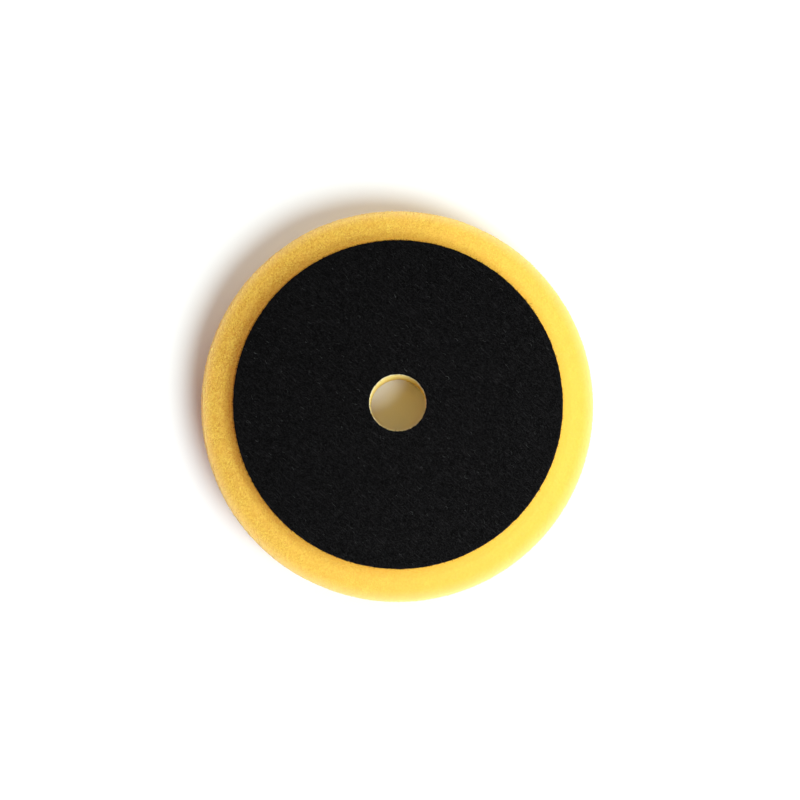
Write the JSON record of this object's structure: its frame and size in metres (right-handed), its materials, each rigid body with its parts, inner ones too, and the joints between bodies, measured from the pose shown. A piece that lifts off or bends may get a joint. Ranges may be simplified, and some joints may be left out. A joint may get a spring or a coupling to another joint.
{
  "type": "foam polishing pad",
  "caption": "Round flared foam polishing pad with a centre hole and a hook-and-loop fabric back, for spreading and buffing polish with a rotary or orbital machine.",
  "frame": {"origin": "centre of the working face, on the plane the pad rests on with its foam down", "axes": "+Z from the working face to the loop fabric, along the pad's spin axis; X and Y are any two square directions in the working face"},
  "size_m": [0.18, 0.18, 0.0275],
  "materials": {
    "foam": "open-cell polyurethane foam, cut surface, matte golden yellow",
    "glue": "set hot-melt film, translucent amber, satin",
    "ground_cloth": "warp-knitted nylon ground cloth, black, matte",
    "pile": "brushed nylon loop pile, near black, matte with fine glints"
  },
  "bodies": {
    "root": {"foam_body": "foam", "glue_film": "glue", "backing_cloth": "ground_cloth", "loop_pile": "pile"}
  },
  "joints": []
}
